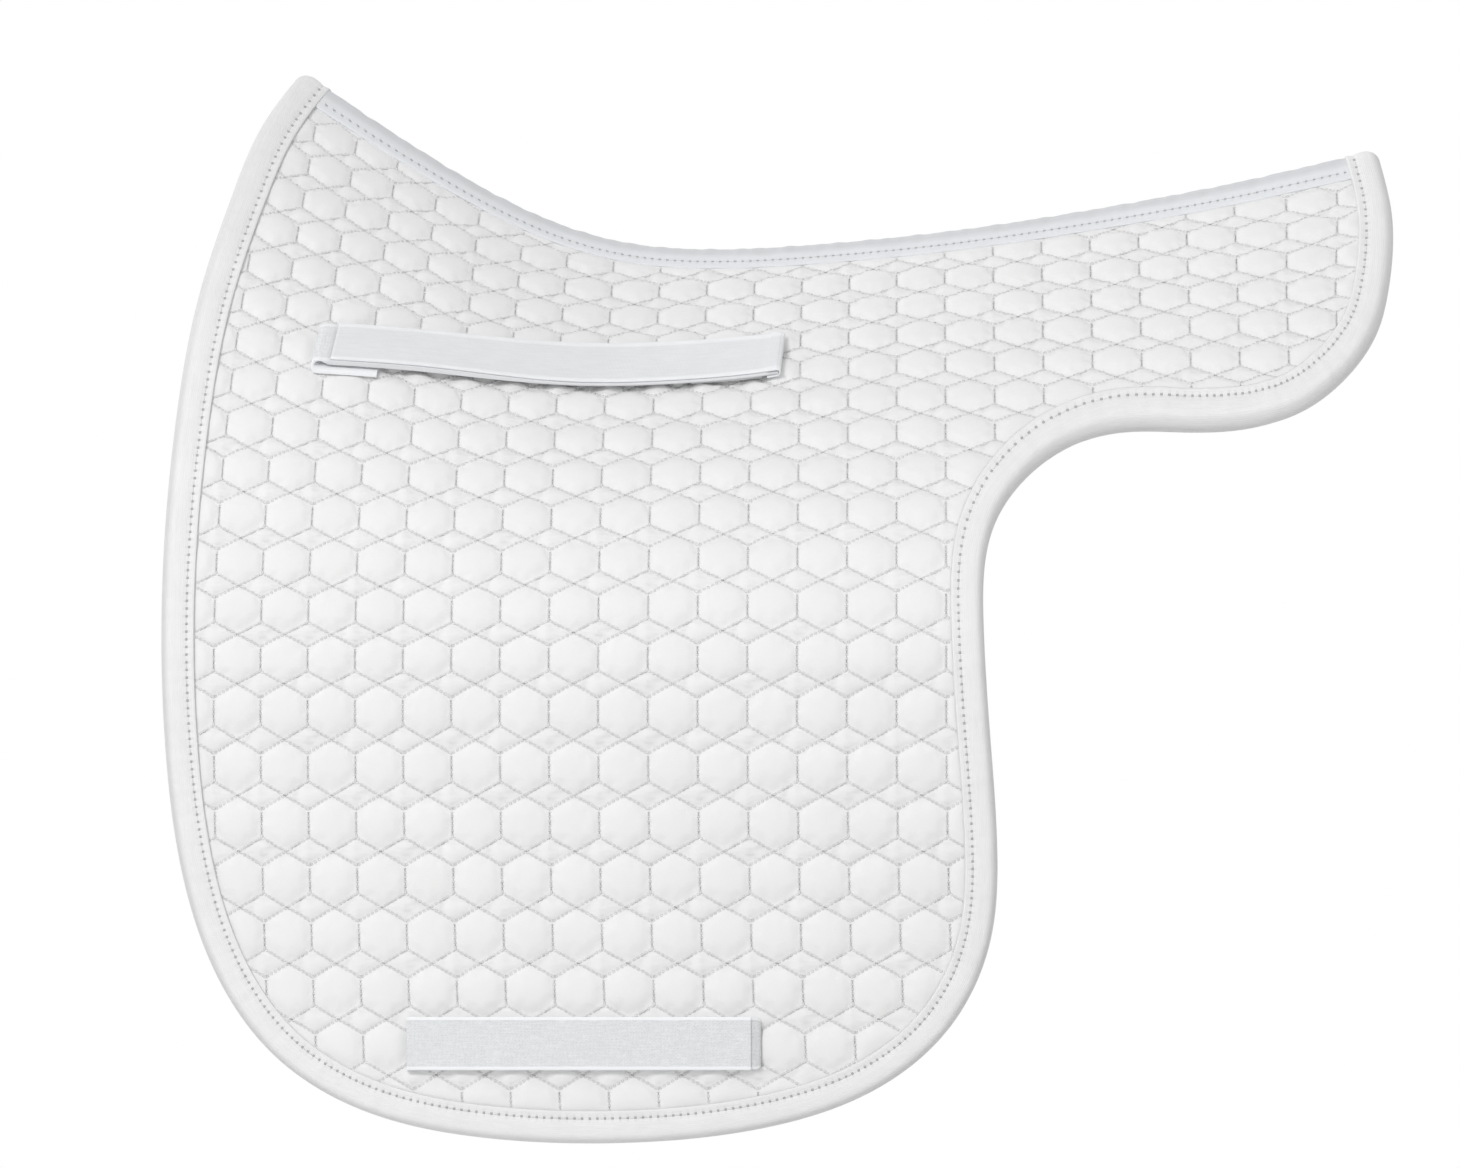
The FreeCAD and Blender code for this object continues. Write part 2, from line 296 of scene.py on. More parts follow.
class Cloth:
    """A fabric material whose pattern is laid out in millimetres on the UV map named cloth."""

    def __init__(self, name, colour, roughness, sheen=0.3):
        self.material = bpy.data.materials.new(name)
        self.material.use_nodes = True
        self.tree = self.material.node_tree
        self.shader = self.tree.nodes["Principled BSDF"]
        titles = ("Roughness", "Sheen Weight", "Sheen Roughness", "Specular IOR Level")
        for title, value in zip(titles, (roughness, sheen, 0.5, 0.2)):
            self.shader.inputs[title].default_value = value
        self.colour = tuple(colour) + (1,)
        self.tone = None
        self.relief = None
        self.u, self.v = self.map_axes("cloth")

    def map_axes(self, title):
        uv = self.add("ShaderNodeUVMap", uv_map=title)
        split = self.add("ShaderNodeSeparateXYZ", [uv.outputs[0]])
        return split.outputs[0], split.outputs[1]

    def add(self, kind, inputs=(), **settings):
        node = self.tree.nodes.new(kind)
        for key, value in settings.items():
            setattr(node, key, value)
        for socket, value in zip(node.inputs, inputs):
            self.feed(socket, value)
        return node

    def feed(self, socket, value):
        if isinstance(value, bpy.types.NodeSocket):
            self.tree.links.new(value, socket)
        elif value is not None:
            socket.default_value = value

    def calc(self, operation, *values):
        return self.add("ShaderNodeMath", values, operation=operation).outputs[0]

    def times(self, a, b):
        return self.calc("MULTIPLY", a, b)

    def apart(self, a, b):
        return self.calc("ABSOLUTE", self.calc("SUBTRACT", a, b))

    def wave(self, axis, pitch):
        """A cosine along one axis that is 1 at every whole pitch."""
        return self.calc("COSINE", self.times(axis, 2 * math.pi / pitch))

    def noise(self, size, detail=2.0, stretch=(1, 1)):
        """Noise between 0 and 1, with features of a size in millimetres."""
        u = self.times(self.u, 1 / (size * stretch[0]))
        v = self.times(self.v, 1 / (size * stretch[1]))
        place = self.add("ShaderNodeCombineXYZ", [u, v, 0.0])
        inputs = (place.outputs[0], None, 1, detail)
        return self.add("ShaderNodeTexNoise", inputs, noise_dimensions="2D").outputs[0]

    def ramp(self, value, low, high, start=0.0, end=1.0):
        """A smooth change from start, where the value is low, to end, where it is high."""
        inputs = (value, low, high, start, end)
        return self.add("ShaderNodeMapRange", inputs, interpolation_type="SMOOTHSTEP").outputs[0]

    def needle_holes(self, along, pitch, across, radius):
        """1 in each needle hole of a row of stitches, from the place along and across the row."""
        rim, core = math.cos(2 * math.pi * radius / pitch), math.cos(math.pi * radius / pitch)
        near = self.ramp(self.wave(along, pitch), rim, core)
        return self.times(near, self.ramp(across, radius, radius / 2))

    def shade(self, factor):
        """Multiplies the colour by a factor that changes over the cloth."""
        self.tone = factor if self.tone is None else self.times(self.tone, factor)

    def darken(self, value, amount):
        """Takes an amount of the light away where a value is 1."""
        self.shade(self.calc("SUBTRACT", 1, self.times(value, amount)))

    def raise_by(self, value, height):
        """Adds relief, in millimetres for a value of 1."""
        scaled = self.times(value, height)
        self.relief = scaled if self.relief is None else self.calc("ADD", self.relief, scaled)

    def finish(self):
        colour = self.add("ShaderNodeMix", data_type="RGBA", blend_type="MULTIPLY")
        colour.inputs["Factor"].default_value = 1
        self.feed(colour.inputs["A"], self.colour)
        grey = self.add("ShaderNodeCombineColor", [self.tone] * 3)
        self.feed(colour.inputs["B"], grey.outputs[0])
        self.feed(self.shader.inputs["Base Color"], colour.outputs["Result"])
        bump = self.add("ShaderNodeBump")
        bump.inputs["Distance"].default_value = MM
        bump.inputs["Strength"].default_value = 1
        self.feed(bump.inputs["Height"], self.relief)
        self.feed(self.shader.inputs["Normal"], bump.outputs[0])
        return self.material


def quilted_material(name, colour, weave_pitch, weave_height, painted_hole_shade):
    """Plain-woven cotton, with pricked needle holes, and painted shade in the holes and in a narrow band
    along each seam of the quilt.
    """
    cloth = Cloth(name, colour, 0.85)
    stitches, away = cloth.map_axes("seam")
    along = cloth.calc("ADD", stitches, 0.5)
    hole = cloth.needle_holes(along, 1, cloth.times(away, 1 / STITCH_PITCH), 0.34)
    # Painted shade in the needle holes.
    cloth.darken(hole, painted_hole_shade)
    # Painted shade in a band 1.5 mm wide along each seam's groove.
    cloth.darken(cloth.ramp(away, 1.5, 0.0), 0.035)
    cloth.shade(cloth.ramp(cloth.noise(40), 0.3, 0.7, 0.985, 1.0))
    weave = cloth.times(cloth.wave(cloth.u, weave_pitch), cloth.wave(cloth.v, weave_pitch))
    cloth.raise_by(weave, weave_height)
    cloth.raise_by(cloth.noise(1.3, 3), 0.06)
    cloth.raise_by(cloth.noise(9, 2), 0.25)
    cloth.raise_by(hole, -0.4)
    return cloth.finish()


def wadding_material():
    """Loose white fibre, only seen where the layers part."""
    cloth = Cloth("wadding", (0.9, 0.9, 0.88), 1.0, 0.6)
    cloth.shade(cloth.ramp(cloth.noise(4, 4), 0.25, 0.75, 0.9, 1.0))
    cloth.raise_by(cloth.noise(2.2, 5, (3, 1)), 0.8)
    return cloth.finish()


def ribbed_material(name, colour, pitch, rib, slant=0.0, hole_row=None, crease=None, selvedge=None):
    """A tape with fine ribs along it, each crossed by small slanted threads.

    hole_row is the row of needle holes, as (pitch, centre of the tape, distance from centre).
    crease is shade painted along the fold where the tape turns over the rim or the spine, as (centre,
    half width, tone). selvedge is the tape's width and that of its plain edges, and with it the tape also
    gets a painted highlight along its cut front end."""
    cloth = Cloth(name, colour, 0.7, 0.2)
    if crease:
        centre, reach, tone = crease
        # Painted shade along the fold, where the tape turns away from the light.
        cloth.shade(cloth.ramp(cloth.apart(cloth.v, centre), reach * 0.45, reach, tone, 1.0))
    if selvedge:
        weave_body(cloth, *selvedge, 0.1)
        # Painted highlight along the face tape's cut end at the strap's front.
        cloth.shade(cloth.ramp(cloth.u, BILLET_FACE_X + 0.9, BILLET_FACE_X + 1.6, 1.05, 1.0))
    if hole_row:
        spacing, centre, offset = hole_row
        across = cloth.apart(cloth.apart(cloth.v, centre), offset)
        hole = cloth.needle_holes(cloth.u, spacing, across, 0.85)
        tuck = cloth.needle_holes(cloth.u, spacing, cloth.times(across, 0.22), 0.7)
        # Painted shade in the needle holes, and faintly in the short dip across each one.
        cloth.darken(hole, 0.42)
        cloth.darken(tuck, 0.05)
        cloth.raise_by(hole, -0.4)
        cloth.raise_by(tuck, -0.1)
    ribs = cloth.wave(cloth.v, pitch)
    shifted = cloth.calc("ADD", cloth.u, cloth.times(cloth.calc("ABSOLUTE", ribs), slant))
    threads = cloth.wave(shifted, pitch * 0.8)
    cloth.raise_by(ribs, rib)
    cloth.raise_by(threads, rib * 0.4)
    cloth.raise_by(cloth.noise(3, 3, (2.5, 1)), 0.12)
    cloth.raise_by(cloth.noise(16, 2), 0.4)
    cloth.shade(cloth.ramp(ribs, -1, 1, 0.975, 1.0))
    cloth.shade(cloth.ramp(cloth.noise(2.0, 3, (8, 0.6)), 0.3, 0.7, 0.97, 1.0))
    cloth.shade(cloth.ramp(cloth.noise(24), 0.3, 0.7, 0.98, 1.0))
    return cloth.finish()


def weave_body(cloth, width, selvedge, tone):
    """1 on the woven middle of a strap and 0 on its smooth, lighter selvedges."""
    middle = cloth.apart(cloth.v, width / 2)
    body = cloth.ramp(middle, width / 2 - selvedge, width / 2 - selvedge * 1.4)
    cloth.darken(body, tone)
    cloth.raise_by(body, -0.12)
    return body


def webbing_material(name, colour, width, selvedge=1.8, tone=0.1, painted_shade_at_tape=None):
    """Plain-woven webbing, whose threads show as short uneven streaks both ways.

    The last argument is where along it the webbing dips under another tape; painted shade darkens it from
    3.5 mm before that place onwards."""
    cloth = Cloth(name, colour, 0.65, 0.15)
    if painted_shade_at_tape:
        # Painted shade where the webbing dips under the face tape.
        cloth.shade(cloth.ramp(cloth.u, painted_shade_at_tape - 3.5, painted_shade_at_tape, 1.0, 0.84))
    body = weave_body(cloth, width, selvedge, tone)
    weave = cloth.times(cloth.wave(cloth.u, 2.3), cloth.wave(cloth.v, 2.2))
    cloth.raise_by(cloth.times(weave, body), 0.08)
    picks = cloth.ramp(cloth.noise(1.2, 2, (0.9, 4)), 0.35, 0.65)
    ends = cloth.ramp(cloth.noise(1.2, 2, (7, 0.8)), 0.35, 0.65)
    threads = cloth.times(cloth.calc("ADD", picks, ends), body)
    cloth.darken(threads, 0.045)
    cloth.raise_by(threads, -0.1)
    cloth.raise_by(cloth.noise(2, 3, (2, 1)), 0.08)
    cloth.shade(cloth.ramp(cloth.noise(12), 0.3, 0.7, 0.985, 1.0))
    return cloth.finish()


def touch_close_material(name, hooked):
    """Hook or loop tape: rows of stiff hooks, or a tangle of soft loops."""
    cloth = Cloth(name, (0.8, 0.81, 0.82), 0.75, 0.1 if hooked else 0.7)
    if hooked:
        rows = cloth.times(cloth.wave(cloth.u, 1.7), cloth.wave(cloth.v, 1.3))
        cloth.raise_by(cloth.ramp(rows, 0.1, 0.6), 0.5)
        cloth.shade(cloth.ramp(rows, -0.2, 0.6, 0.85, 1.0))
    else:
        tangle = cloth.noise(0.9, 4)
        cloth.raise_by(tangle, 0.9)
        cloth.shade(cloth.ramp(tangle, 0.3, 0.7, 0.88, 1.0))
    return cloth.finish()


def thread_material():
    """Twisted sewing thread."""
    cloth = Cloth("sewing_thread", (0.86, 0.86, 0.87), 0.6, 0.2)
    twist = cloth.wave(cloth.calc("ADD", cloth.u, cloth.v), 0.35)
    cloth.raise_by(twist, 0.03)
    cloth.shade(cloth.ramp(twist, -1, 1, 0.93, 1.0))
    return cloth.finish()


BLUISH = (0.89, 0.90, 0.92)
BILLET_WIDTH = 41
BILLET_FOLD_X = -213.5
BILLET_FACE_X = -207.6
GIRTH_WIDTH = 30.9
# The stitches' pitches, the rows' places across the tapes and the binding's width when flat
STITCH_PITCH = 2.65
BINDING_STITCH = 4.5
SPINE_STITCH = 4.4
SPINE_ROW = 17
BINDING_GIRTH = 47.5
BINDING_ROW = BINDING_GIRTH / 2 - 4.75
MATERIALS = {
    "quilt": quilted_material("quilt_cotton", (0.87, 0.87, 0.868), 0.8, 0.012, 0.08),
    "lining": quilted_material("lining_cotton", (0.84, 0.84, 0.83), 1.1, 0.03, 0.2),
    "wadding": wadding_material(),
    "binding": ribbed_material(
        "binding_tape", (0.885, 0.885, 0.885), 1.1, 0.035, 0.5,
        hole_row=(BINDING_STITCH, BINDING_GIRTH / 2, BINDING_ROW),
        # Painted shade round the rim, where the binding turns away from the light.
        crease=(BINDING_GIRTH / 2, BINDING_WIDTH / 2, 0.86),
    ),
    "spine": ribbed_material(
        "spine_tape", (0.83, 0.845, 0.87), 0.9, 0.02,
        # Painted shade along the ridge over the spine.
        hole_row=(SPINE_STITCH, 0, SPINE_ROW), crease=(0, 14, 0.84),
    ),
    "face": ribbed_material("face_tape", (0.955, 0.97, 0.99), 1.0, 0.05, selvedge=(BILLET_WIDTH, 3.6)),
    "billet_webbing": webbing_material("billet_webbing", BLUISH, BILLET_WIDTH, 3.2, 0.03),
    # The billet webbing, with painted shade where it dips under the face tape.
    "billet_webbing_painted_shade": webbing_material("billet_webbing_painted_shade", BLUISH, BILLET_WIDTH, 3.2, 0.03, BILLET_FACE_X),
    "girth_webbing": webbing_material("girth_webbing", (0.915, 0.93, 0.95), GIRTH_WIDTH),
    # The girth strap's fold is the same webbing, coloured darker as painted shade.
    "girth_fold_painted_shade": webbing_material("girth_fold_painted_shade", (0.8, 0.81, 0.825), GIRTH_WIDTH),
    "hooks": touch_close_material("touch_close_hooks", True),
    "loops": touch_close_material("touch_close_loops", False),
    "thread": thread_material(),
}


def dress(piece, material):
    piece.data.materials.append(MATERIALS[material])
    return piece


# --- The quilting ---

# Hexagons stand in columns, point to point, and the gaps between their points are diamonds. In
# quilt coordinates (i, j) the points touch at whole numbers, and j is 1 where the pad starts to
# hang straight.
PITCH_X = 28.8
PITCH_UP = 31
COLUMNS = range(-11, 17)
ROWS = range(-20, 10)
CELL_STEPS = 8
STITCHES_PER_EDGE = 6
# Heights over the mean face: along the seams, at the tops and where a tape presses the quilt
SEAM_DEPTH = -1.8
HEXAGON_TOP = 1.2
DIAMOND_TOP = 0.5
PRESSED = -0.8


def quilt_place(i, j):
    """The place in the side view of a point in quilt coordinates.

    The columns lean in towards the spine, and the rows stand closer at the front."""
    x = -38.9 + PITCH_X * i + 0.11 * np.minimum(i, 0)**2
    pitch = np.interp(x, [-214, -140, 0, 136, 360], [28.7, 28.8, 31.4, 31.7, 29.9])
    z = level_at(x, np.where(j < 1, pitch, 32.4) * (1 - j))
    lean = np.where(i < 6, 9.6 - 1.6 * i, -0.6 * (i - 6))
    above = np.clip((z - FLAT) / 267, 0, None)
    below = np.clip((FLAT - z) / 190, 0, None)
    return x + lean * above**2 + 4 * below**2, z


def lozenge(corners, warp):
    """A grid over a four-sided patch, as points in quilt coordinates. warp bunches its lines."""
    steps = np.linspace(0, 1, CELL_STEPS + 1)
    a, b = np.meshgrid(steps, steps, indexing="ij")
    s, t = warp(a, b), warp(b, a)
    c = np.array(corners, float)
    weights = [(1 - s) * (1 - t), s * (1 - t), s * t, (1 - s) * t]
    return sum(weight[..., None] * corner for weight, corner in zip(weights, c)).reshape(-1, 2)


def warp_outward(a, b):
    return (1 - b) * (1 - (1 - a)**1.5) + b * a


def warp_both(a, b):
    return a + 4 * b * (1 - b) * (0.5 - 0.5 * np.cos(math.pi * a) - a)


HEXAGON = [(0, -0.5), (0.5, -0.25), (0.5, 0.25), (0, 0.5), (-0.5, 0.25), (-0.5, -0.25)]
DIAMOND = [(-0.5, 0), (0, -0.25), (0.5, 0), (0, 0.25)]
NORM = 6


def cell_reach(*parts):
    """0 in the middle of a cell and 1 along its edges, from 1 along each pair of edges."""
    return sum(np.abs(part)**NORM for part in parts)**(1 / NORM)


SQUARE = np.array(grid_faces(CELL_STEPS + 1, CELL_STEPS + 1))[:, ::-1]


def seam_pairs(local, ring):
    """For each corner of a patch's quads, its place along the nearest seam, in stitches, and
    the distance from that seam in millimetres."""
    scale = np.array([PITCH_X, PITCH_UP])
    places, corners = local * scale, np.array(ring, float) * scale
    ends = np.roll(corners, -1, axis=0)
    middle = places[SQUARE].mean(axis=1)
    spans = ends - corners
    lengths = np.linalg.norm(spans, axis=1)
    units = spans / lengths[:, None]
    away = [np.abs(np.cross(u, middle - c)) for u, c in zip(units, corners)]
    nearest = np.argmin(away, axis=0)
    offset = places[SQUARE] - corners[nearest][:, None]
    unit = units[nearest][:, None]
    along = (offset * unit).sum(axis=-1) / lengths[nearest][:, None] * STITCHES_PER_EDGE
    distance = np.abs(offset[..., 0] * unit[..., 1] - offset[..., 1] * unit[..., 0])
    return np.stack([along, distance], axis=-1)


def cell_patches():
    """The four patches of a hexagon and the diamond beside it, with where they go, how far
    each point is from the middle to the edge, and their seam maps."""
    patches = []
    for k in (0, 2, 4):
        local = lozenge([(0, 0), HEXAGON[k], HEXAGON[k + 1], HEXAGON[(k + 2) % 6]], warp_outward)
        i, j = local.T
        reach = cell_reach(2 * i, 2 * j + i, 2 * j - i)
        patches.append((local, (0, 0.5), reach, seam_pairs(local, HEXAGON)))
    local = lozenge(DIAMOND, warp_both)
    i, j = local.T
    reach = cell_reach(4 * j + 2 * i, 4 * j - 2 * i)
    return patches + [(local, (0.5, 0), reach, seam_pairs(local, DIAMOND))]


PATCHES = cell_patches()
TOPS = [HEXAGON_TOP] * 3 + [DIAMOND_TOP]
UNEVEN_TOPS = 0.2


def weld(points):
    """Which points to keep where several share a place, and each point's number after that."""
    _, first, same = np.unique(np.round(points, 5), axis=0, return_index=True, return_inverse=True)
    return first, same.ravel()


SWATCH_CELLS = 4
SIMULATED_FRAMES = 24
SIMULATED_CAP = 6
CLOTH_SETTINGS = {
    "quality": 8, "mass": 0.2, "vertex_group_mass": "sewn", "tension_stiffness": 12,
    "compression_stiffness": 12, "shear_stiffness": 4, "bending_stiffness": 2, "shrink_min": -0.01,
    "use_pressure": True, "uniform_pressure_force": 20,
}


def simulated_domes():
    """The puff of each patch, from a cloth simulation of a small piece of the quilt.

    A slack sheet is held down along its stitches, which are a little uneven, and its filling
    presses it up. Every cell away from the swatch's border gives one set of puffs."""
    cells = [(i, j) for i in range(SWATCH_CELLS) for j in range(SWATCH_CELLS)]
    count = (CELL_STEPS + 1)**2
    places = np.concatenate([local + shift + cell for cell in cells for local, shift, _, _ in PATCHES])
    reach = np.concatenate([reach for _ in cells for _, _, reach, _ in PATCHES])
    quads = np.concatenate([SQUARE + k * count for k in range(len(cells) * len(PATCHES))])
    first, same = weld(places)
    points = np.zeros((len(first), 3))
    points[:, :2] = places[first] * (PITCH_X, PITCH_UP)
    sewn = reach[first] > 0.97
    random = np.random.default_rng(11)
    points[:, 2] = np.where(sewn, random.uniform(-0.1, 0.1, len(first)), 0.4 * (1 - reach[first]))
    swatch = make_piece("swatch", points, same[quads][:, ::-1].tolist())
    group = swatch.vertex_groups.new(name="sewn")
    group.add(np.nonzero(sewn)[0].tolist(), 1.0, "REPLACE")
    cloth = swatch.modifiers.new("cloth", "CLOTH")
    for title, value in CLOTH_SETTINGS.items():
        setattr(cloth.settings, title, value)
    cloth.settings.effector_weights.gravity = 0
    cloth.collision_settings.use_collision = False
    for number in range(1, SIMULATED_FRAMES + 1):
        bpy.context.scene.frame_set(number)
    settled = swatch.evaluated_get(bpy.context.evaluated_depsgraph_get()).to_mesh()
    height = np.empty(len(settled.vertices) * 3)
    settled.vertices.foreach_get("co", height)
    height = np.clip(height.reshape(-1, 3)[:, 2] / MM, -1, SIMULATED_CAP)
    bpy.data.objects.remove(swatch)
    bpy.context.scene.frame_set(1)
    height = height[same].reshape(len(cells), len(PATCHES), count)
    inner = [k for k, cell in enumerate(cells) if 0 < min(cell) and max(cell) < SWATCH_CELLS - 1]
    hexagon, diamond = height[inner][:, :3].max(), height[inner][:, 3].max()
    scale = [1 / hexagon] * 3 + [1 / diamond]
    return [[height[k, p] * scale[p] for p in range(len(PATCHES))] for k in inner]


DOMES = simulated_domes()


def quilt_cells():
    """Every cell of the quilt as one welded mesh in quilt coordinates.

    Gives the points, their puff from 0 to 1, the cell's top, the quads and the seam map."""
    origins = np.array([(i, j) for i in COLUMNS for j in ROWS], float)
    random = np.random.default_rng(7)
    swell = random.uniform(-1, 1, (2, len(origins)))
    variant = random.integers(0, len(DOMES), len(origins))
    points, domes, tops, quads, seams = [], [], [], [], []
    for number, origin in enumerate(origins):
        for p, (local, shift, _, pairs) in enumerate(PATCHES):
            points.append(local + origin + shift)
            domes.append(DOMES[variant[number]][p])
            tops.append(np.full(len(local), TOPS[p] + UNEVEN_TOPS * swell[p // 3, number]))
            quads.append(SQUARE + len(quads) * len(local))
            seams.append(pairs)
    points, domes, tops, quads, seams = map(np.concatenate, (points, domes, tops, quads, seams))
    first, same = weld(points)
    return points[first], domes[first], tops[first], same[quads], seams


def trim_to_panel(x, z, quads, margin):
    """Draws points outside the panel back to its edge, less a margin, and to the spine.

    Gives the new x and z, the distance inside the edge, and which quads remain."""
    inside, found = nearest_edge(x, z)
    beyond_edge = inside < margin
    back = edge_points[found] + edge_inward[found] * margin
    x = np.where(beyond_edge, back[:, 0], x)
    z = np.where(beyond_edge, back[:, 1], z)
    top = crown_height(x)
    beyond_spine = z > top
    z = np.minimum(z, top)
    outside = beyond_edge | beyond_spine
    kept = ~outside[quads].all(axis=1)
    return x, z, np.maximum(inside, margin), kept


EDGE_MARGIN = 2.0
GIRTH_LEVEL = SEAT - 461.5
# Where a strap or patch is sewn down, as ranges of x and z
SEWN_DOWN = [
    (-166, 36, GIRTH_LEVEL - GIRTH_WIDTH / 2, GIRTH_LEVEL + GIRTH_WIDTH / 2),
    (-220, -180, SEAT - 74, SEAT - 50),
    (4, 43, SEAT - 74, SEAT - 54),
]


def freedom(inside, x, z):
    """1 where the quilt puffs freely and 0 where a tape along the panel's edges presses it."""
    from_spine = np.abs(drape(x, z)[:, 1]) - TAPE_HALF
    return smooth_step(np.minimum(inside - BINDING_WIDTH, from_spine), -2, 7)


def strap_freedom(x, z):
    """0 where a strap is sewn down, rising to 1 around it."""
    free = np.ones_like(x)
    for x0, x1, z0, z1 in SEWN_DOWN:
        away = np.max([x0 - x, x - x1, z0 - z, z - z1], axis=0)
        free = np.minimum(free, smooth_step(away, -3, 4))
    return free


def quilt_surface():
    """The trimmed quilt: place, puff and top for each point, quads, seam map and freedoms."""
    points, dome, tops, quads, seams = quilt_cells()
    x, z = quilt_place(*points.T)
    x, z, inside, kept = trim_to_panel(x, z, quads, EDGE_MARGIN)
    used, quads = np.unique(quads[kept], return_inverse=True)
    x, z, inside, dome, tops, points = (v[used] for v in (x, z, inside, dome, tops, points))
    return {"x": x, "z": z, "dome": dome, "tops": tops, "quads": quads.reshape(-1, 4), "points": points,
            "seams": seams[kept], "free": freedom(inside, x, z), "strap_free": strap_freedom(x, z)}


QUILT = quilt_surface()


def quilt_heights(free):
    """The height of the cover over the mean face: puffed, and pressed flat under the tapes."""
    puffed = SEAM_DEPTH + (QUILT["tops"] - SEAM_DEPTH) * QUILT["dome"]
    return PRESSED + free * (puffed - PRESSED)


def quilted_layer(name, side, outer, inner):
    """A closed quilted sheet between two heights."""
    sign = SIDES[side]
    x, z = QUILT["x"], QUILT["z"]
    points, faces = shell(drape(x, z, outer, sign), drape(x, z, inner, sign), QUILT["quads"])
    cloth = np.tile(QUILT["points"] * (PITCH_X, PITCH_UP), (2, 1))
    seams = QUILT["seams"]
    rim = np.tile([(0.0, 5.0)], (len(faces) - 2 * len(seams), 4, 1))
    seam_map = np.concatenate([seams, seams[:, ::-1], rim]).reshape(-1, 2)
    return make_piece(name, points, faces.tolist(), {"cloth": cloth, "seam": seam_map}, sign < 0)


# The underside's height, how much it puffs beside the cover, and the gap between the layers
UNDERSIDE = -PAD - 0.2
UNDER_PUFF = 0.7
GAP = 0.15


def bend_with_flap(piece):
    """Bakes the placement of cloth that crosses the line where the flap lifts into its mesh; the cloth is
    not made to bend with the flap.
    """
    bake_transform(piece)


for side in SIDES:
    over = quilt_heights(QUILT["free"] * QUILT["strap_free"])
    under = UNDERSIDE - UNDER_PUFF * (quilt_heights(QUILT["free"]) - PRESSED)
    for name, outer, inner, material, slot, nodes in (
        ("quilted_cover", over, over - COVER, "quilt", "quilt_cotton", ("outer_cover", "flap_cover")),
        ("wadding_core", over - COVER - GAP, under + COVER + GAP, "wadding", "wadding",
         ("wadding", "flap_wadding")),
        ("quilted_lining", under + COVER, under, "lining", "lining_cotton", ("lining", "flap_lining")),
    ):
        layer = quilted_layer(f"{side}_{name}", side, outer, inner)
        dress(layer, material)
        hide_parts(*(f"{side}_{node}" for node in nodes))
        bend_with_flap(layer)

# --- Stitches ---


def unit(vectors):
    return vectors / np.linalg.norm(vectors, axis=-1, keepdims=True)


def stitching(name, side, here, ahead, behind, height, length, radius):
    """One piece of many short threads, each a four-sided spindle along its seam.

    here, ahead and behind are places in the side view, each as a row of x and one of z."""
    sign = SIDES[side]
    centres = drape(*here, height, sign)
    along = unit(drape(*ahead, height, sign) - drape(*behind, height, sign))
    normal = unit(outward(*here, sign))
    across = np.cross(normal, along)
    spindle = []
    for reach in (-0.32, 0.32):
        for a, b in ((1, 0), (0, 1), (-1, 0), (0, -1)):
            spindle.append(centres + along * reach * length + (across * a + normal * b) * radius)
    for reach in (-0.5, 0.5):
        spindle.append(centres + along * reach * length - normal * radius)
    after = (1, 2, 3, 0)
    local = [(k, after[k], 4 + after[k], 4 + k) for k in range(4)]
    local += [(after[k], k, 8) for k in range(4)] + [(4 + k, 4 + after[k], 9) for k in range(4)]
    starts = range(0, len(centres) * len(spindle), len(spindle))
    faces = [tuple(start + v for v in face) for start in starts for face in local]
    flat = [(a * 0.5, b * 0.4) for a in range(2) for b in range(4)] + [(0, 0), (1, 0)]
    points = np.stack(spindle, axis=1).reshape(-1, 3)
    return make_piece(name, points, faces, {"cloth": np.tile(flat, (len(centres), 1))}, sign < 0)


def quilt_seams():
    """The middle and direction of every stitch of the quilt, in quilt coordinates."""
    middles, directions = [], []
    edges = np.array([(HEXAGON[k], HEXAGON[k + 1]) for k in range(5)])
    for start, end in edges:
        stitch = (end - start) / STITCHES_PER_EDGE
        for k in range(STITCHES_PER_EDGE):
            middles.append(start + stitch * k + (0, 0.5))
            directions.append(stitch / 2)
    cells = np.array([(i, j) for i in COLUMNS for j in ROWS])[:, None]
    return (cells + middles).reshape(-1, 2), np.tile(directions, (len(cells), 1))


def quilt_stitching(side):
    middles, directions = quilt_seams()
    x, z = quilt_place(*middles.T)
    inside, _ = nearest_edge(x, z)
    y = np.abs(drape(x, z)[:, 1])
    seen = (inside > BINDING_WIDTH + 1) & (y > TAPE_HALF + 1) & (z < crown_height(x))
    middles, directions, x, z, inside = (v[seen] for v in (middles, directions, x, z, inside))
    free = freedom(inside, x, z) * strap_freedom(x, z)
    height = PRESSED + free * (SEAM_DEPTH - PRESSED) + 0.1
    ahead, behind = (quilt_place(*(middles + step).T) for step in (directions, -directions))
    return stitching(f"{side}_quilt_stitching", side, (x, z), ahead, behind, height, 2.3, 0.28)


# --- The binding ---

# The tape's section from its sewn edge on the face, round the pad's rim, to its other edge, as
# (distance inside the rim, height over the mean face)
BINDING_SECTION = [
    (19, 0.7), (18.6, 1.1), (16.8, 1.1), (15, 0.75), (14.3, 0.6), (13.6, 0.75), (11.5, 1.3),
    (8, 1.55), (5, 1.4), (3, 0.7), (1.4, -0.9), (0.3, -3.2), (0, -5.4), (0.3, -7.6), (1.4, -9.9),
    (3, -11.3), (5, -12), (8, -12.1), (11.5, -11.9), (14.3, -11.4), (16.8, -11.8), (19, -11.4),
]
CORNER_RADIUS = 2.2
TAPE = 1.0
SECTION_STEP = 0.9
STITCH_LINE = 14.3
# How much of the tape at each peak has closer rows, and the rows' spacing there and elsewhere
PEAK_RUN = 12
PEAK_STEP, RUN_STEP = 0.6, 1.6
EDGE_RUN = float(np.sum(edge_points[:, 1] < crown_height(edge_points[:, 0])))


